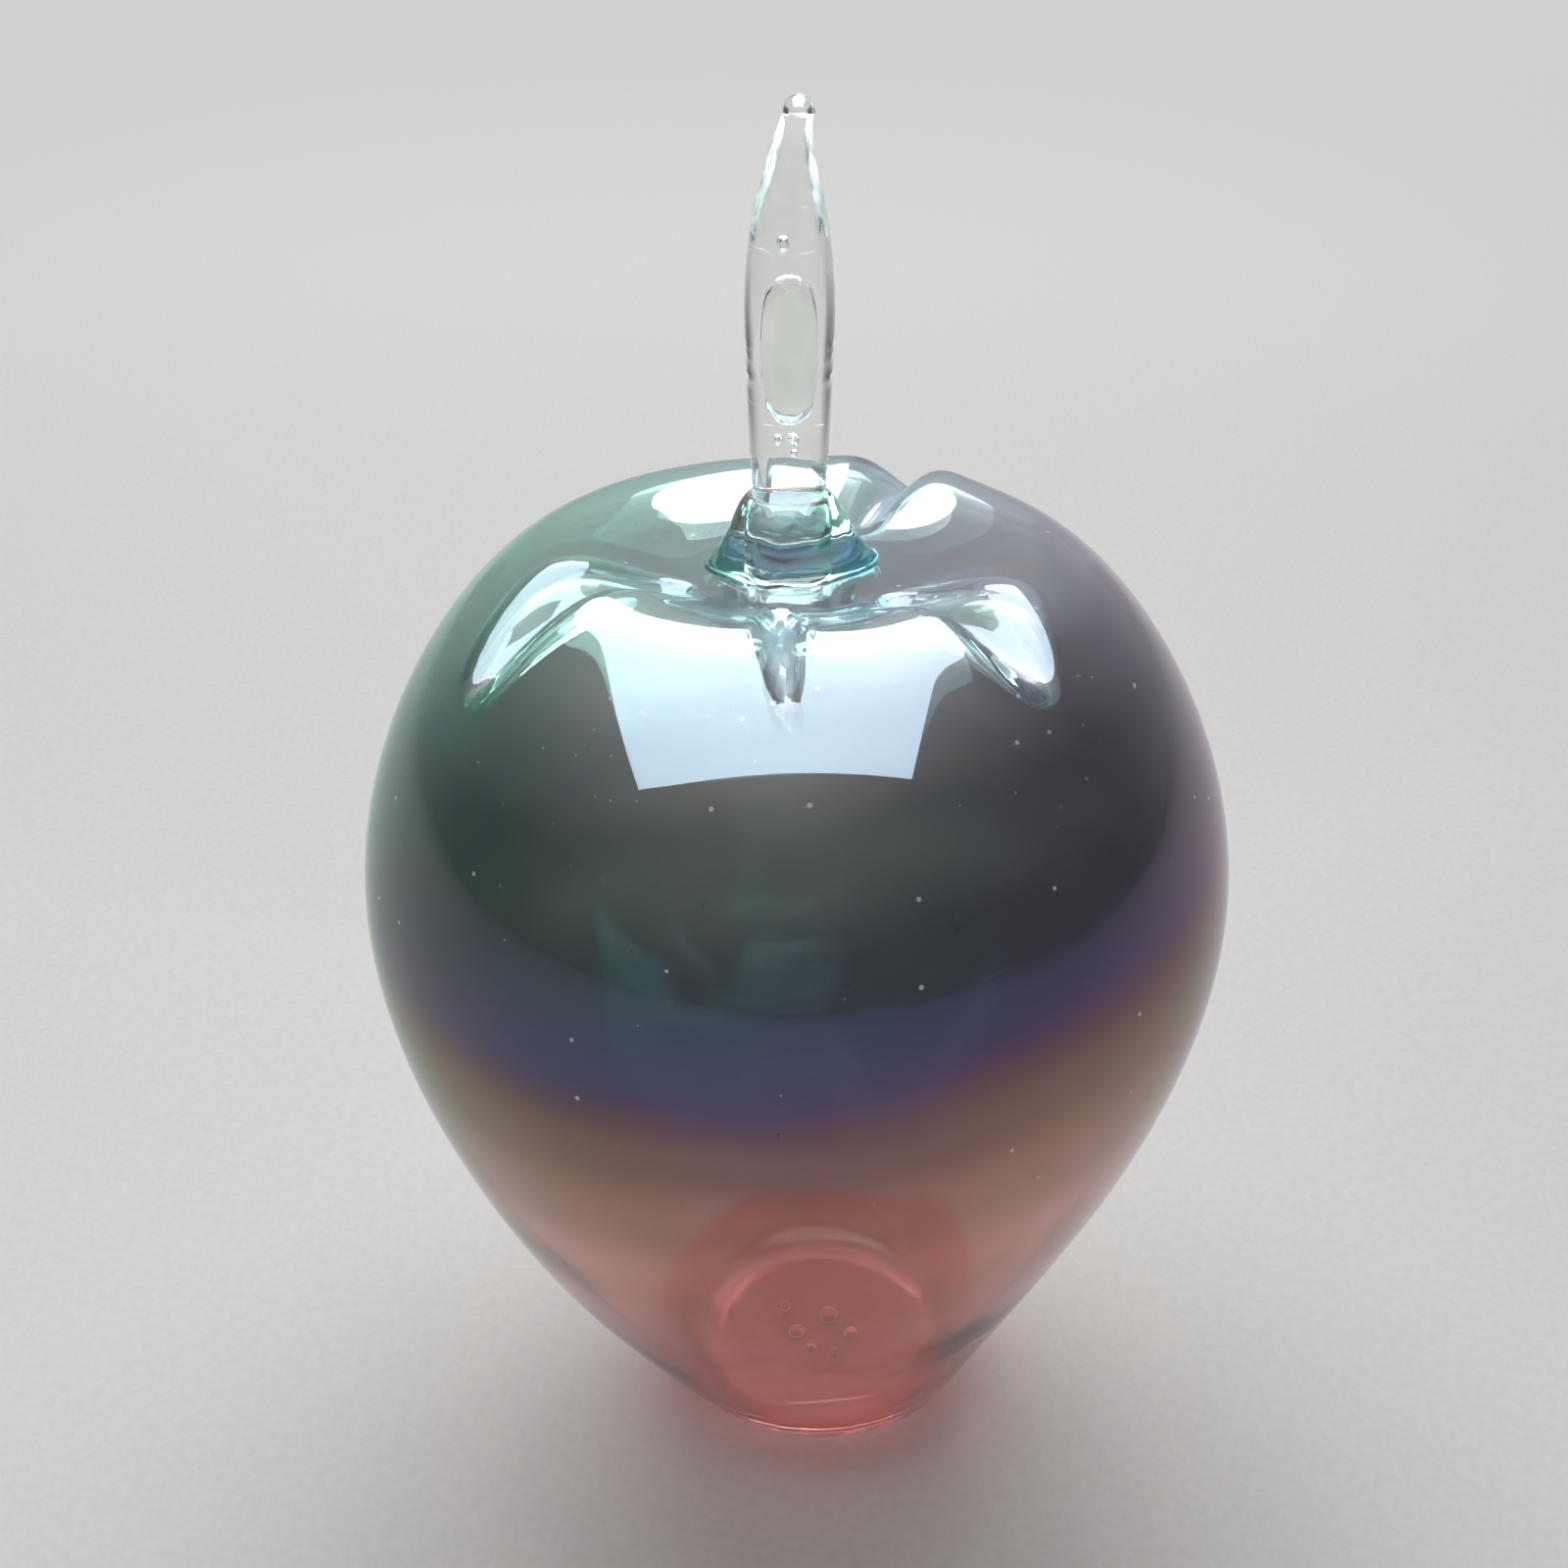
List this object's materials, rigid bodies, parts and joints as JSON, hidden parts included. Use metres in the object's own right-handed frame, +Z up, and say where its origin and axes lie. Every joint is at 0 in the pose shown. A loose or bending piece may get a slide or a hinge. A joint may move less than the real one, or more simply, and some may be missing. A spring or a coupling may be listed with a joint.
{
  "type": "art glass apple",
  "caption": "Hollow blown glass apple with a crimped crown, a tapering wall on a small flat foot, a bell-shaped collar and a clear pulled stem; a free-standing ornament or paperweight.",
  "frame": {"origin": "centre of the flat foot that the apple stands on", "axes": "+Z up, away from the foot; -Y is the side that the picture shows; +X is to the right there, the side toward which the foot is set off from the body's axis"},
  "size_m": [0.1, 0.1, 0.1628],
  "materials": {
    "body_glass": "polished, lustred: smoky teal crown, indigo belly, cranberry heel",
    "collar_glass": "polished, teal lustre",
    "stem_glass": "clear, fire-polished"
  },
  "bodies": {
    "root": {"blown_body": "body_glass", "stem_collar": "collar_glass", "stem": "stem_glass"}
  },
  "joints": []
}
